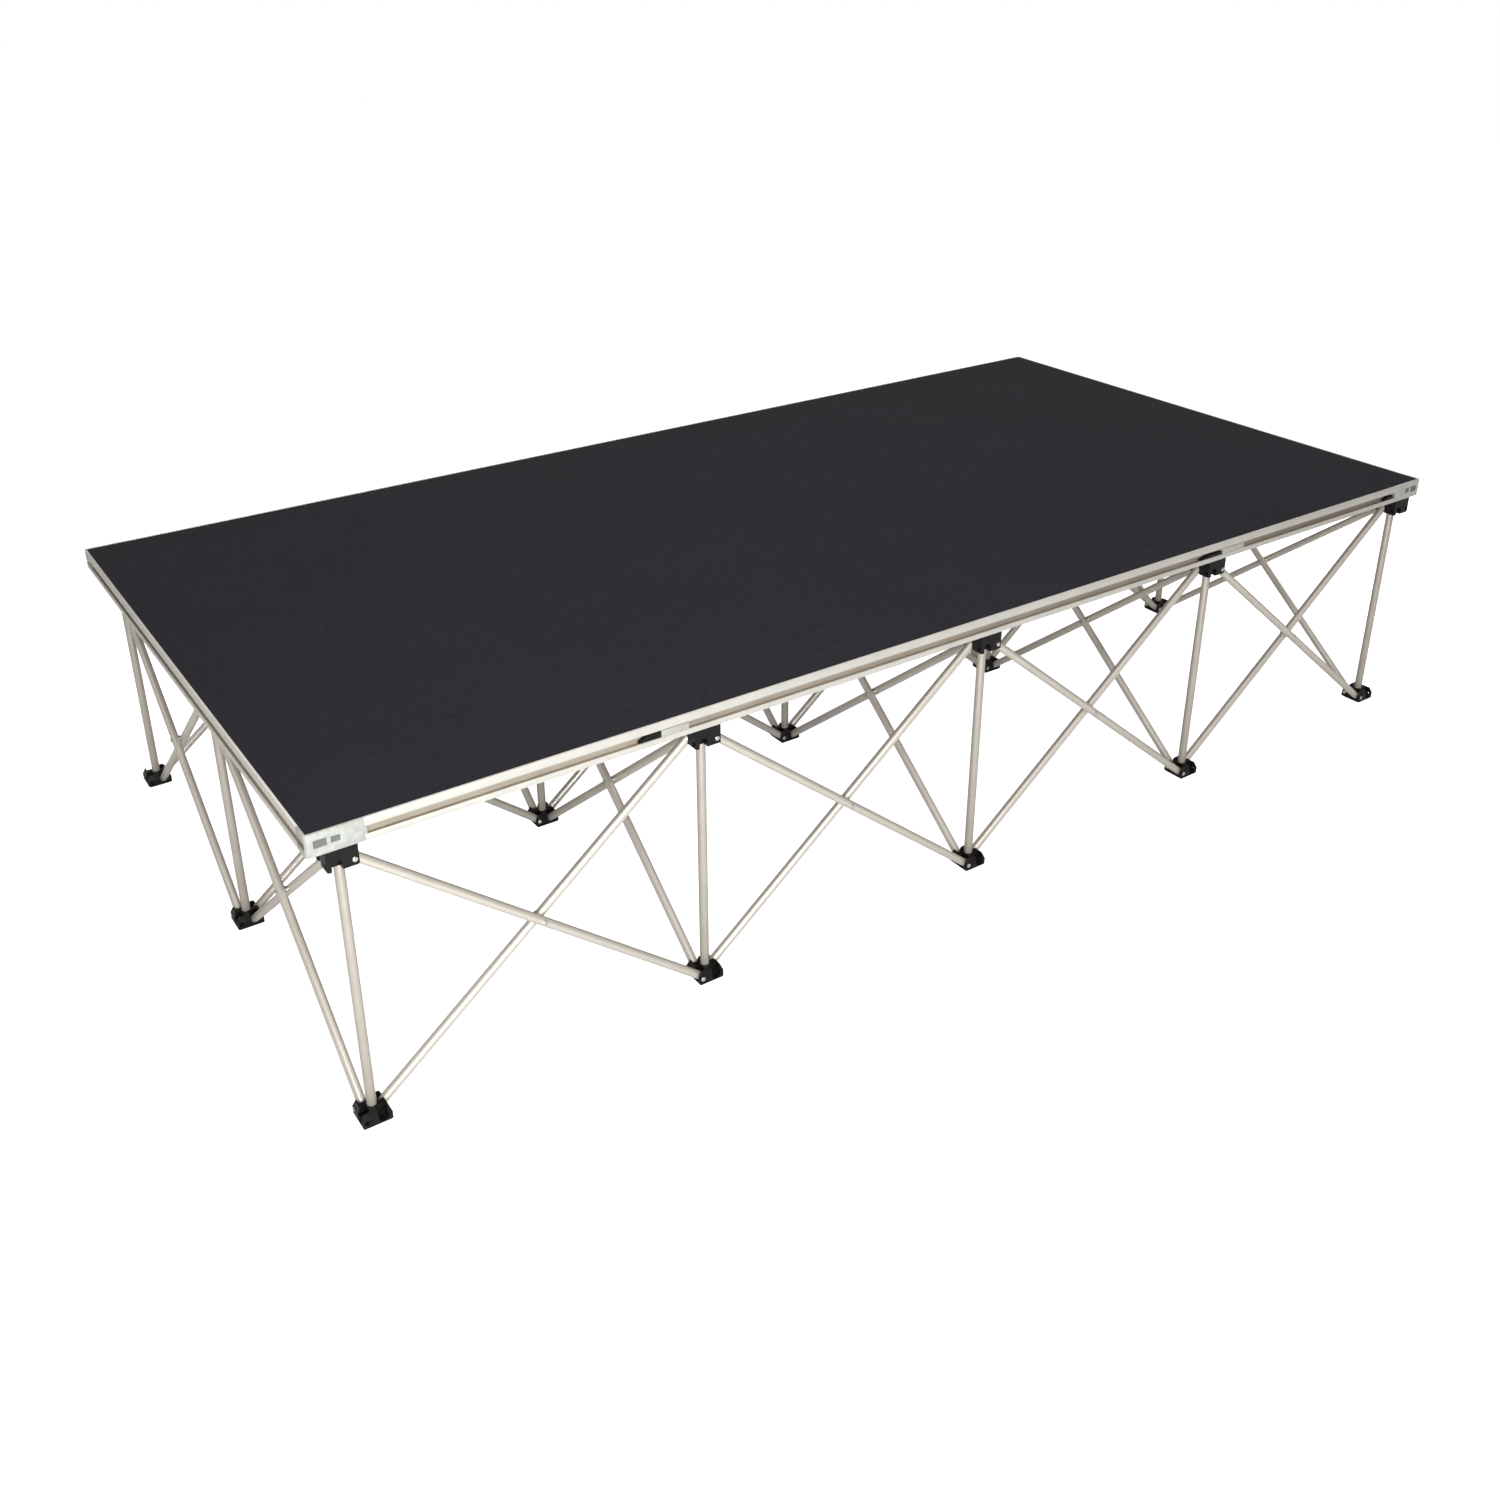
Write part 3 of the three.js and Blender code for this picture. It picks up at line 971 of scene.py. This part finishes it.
def make_beam():
    """The stiffener under the board's middle: a flat box section, open at its ends."""
    low, high = beam_box
    width = high.y - low.y
    height = RAIL_LEDGE
    outline = rectangle(-width / 2, 0, width / 2, height)
    bottom = BEAM_WALL
    top = height - BEAM_WALL
    cells = []
    for left, right in ((-width / 2 + BEAM_WALL, -BEAM_RIB), (BEAM_RIB, width / 2 - BEAM_WALL)):
        cells.append(rectangle(left, bottom, right, top))
    section = softened(prism(outline, low.x, high.x, cells), BEAM_BEVEL)
    matrix = shifted(0, 0, DECK_BOTTOM)
    beam = piece("centre_beam_extrusion", along_x(section), matrix, "deck_rail", deck_rail)
    ride_on_deck(beam, "centre_beam")


make_blocks()
brace = brace_mesh()
crossing = crossing_mesh()
make_long_braces(brace, crossing)
make_side_braces(brace, crossing)
make_rails()
make_groove_parts()
make_board()
make_beam()

# ---- floor, light and camera ------------------------------------------------------------------


FLOOR_RADIUS = 9
FLOOR_SIDES = 96


def make_floor():
    bm = bmesh.new()
    bmesh.ops.create_circle(bm, cap_ends=True, segments=FLOOR_SIDES, radius=FLOOR_RADIUS)
    mesh = bpy.data.meshes.new("floor")
    bm.to_mesh(mesh)
    bm.free()
    n = Nodes("floor")
    clouds = n.noise(n.local(), 1.5, 2)
    colour = n.colours(clouds, (0.3, srgb(226, 226, 226)), (0.7, srgb(232, 232, 232)))
    roughness = n.spread(clouds, 0.8, 0.9)
    material = n.finish(colour, roughness, Emission_Color=(1, 1, 1, 1))
    seen = n.add("ShaderNodeLightPath").outputs["Is Camera Ray"]
    n.link(seen, n.shader.inputs["Emission Strength"])
    mesh.materials.append(material)
    floor = bpy.data.objects.new("floor", mesh)
    bpy.context.scene.collection.objects.link(floor)


def area_light(name, place, target, size, power, colour):
    light = bpy.data.lights.new(name, "AREA")
    light.shape = "RECTANGLE"
    light.size, light.size_y = size
    light.energy = power
    light.color = colour
    lamp = bpy.data.objects.new(name, light)
    bpy.context.scene.collection.objects.link(lamp)
    lamp.location = place
    aim = Vector(target) - Vector(place)
    lamp.rotation_euler = aim.to_track_quat("-Z", "Y").to_euler()


# Each light's name, place, target, size, power in watts and colour.
LIGHTS = (
    ("key", (-1.5, -2.5, 1.05), (-0.6, -0.5, 0.3), (0.8, 0.8), 54, (0.92, 0.965, 1)),
    ("top", (0.2, 0.3, 3.6), (0, 0, 0.4), (3.5, 2.5), 45, (1, 1, 1)),
)


def make_light():
    """A grey sky, darker at the horizon and white to the camera, and two soft lights."""
    world = bpy.data.worlds.new("studio")
    bpy.context.scene.world = world
    world.use_nodes = True
    tree = world.node_tree
    background = tree.nodes["Background"]
    direction = tree.nodes.new("ShaderNodeTexCoord").outputs["Generated"]
    height = tree.nodes.new("ShaderNodeSeparateXYZ")
    ramp = tree.nodes.new("ShaderNodeValToRGB")
    for element, grey, position in zip(ramp.color_ramp.elements, (0.1, 0.56), (0.1, 0.55)):
        element.color = (grey, grey, grey, 1)
        element.position = position
    seen = tree.nodes.new("ShaderNodeLightPath").outputs["Is Camera Ray"]
    pick = tree.nodes.new("ShaderNodeMix")
    pick.data_type = "RGBA"
    pick.inputs[7].default_value = (1, 1, 1, 1)
    tree.links.new(direction, height.inputs["Vector"])
    tree.links.new(height.outputs["Z"], ramp.inputs["Fac"])
    tree.links.new(seen, pick.inputs["Factor"])
    tree.links.new(ramp.outputs["Color"], pick.inputs[6])
    tree.links.new(pick.outputs[2], background.inputs["Color"])
    for settings in LIGHTS:
        area_light(*settings)


CAMERA_PLACE = (-1.3808, -1.9044, 1.3164)
CAMERA_LOOK = (0.5054, 0.7531, -0.4212)
CAMERA_RIGHT = (0.8288, -0.5596, -0.0062)
CAMERA_LENS = 36.34
CAMERA_SHIFT = (0.0095, -0.0852)


def make_camera():
    data = bpy.data.cameras.new("camera")
    data.sensor_width = 36
    data.lens = CAMERA_LENS
    data.shift_x, data.shift_y = CAMERA_SHIFT
    data.clip_start = 0.01
    camera = bpy.data.objects.new("camera", data)
    bpy.context.scene.collection.objects.link(camera)
    look = Vector(CAMERA_LOOK).normalized()
    right = Vector(CAMERA_RIGHT)
    right = (right - right.dot(look) * look).normalized()
    up = right.cross(look)
    rotation = Matrix((right, up, -look)).transposed().to_4x4()
    camera.matrix_world = Matrix.Translation(CAMERA_PLACE) @ rotation
    bpy.context.scene.camera = camera


make_floor()
make_light()
make_camera()
bpy.context.scene.view_settings.view_transform = "Standard"
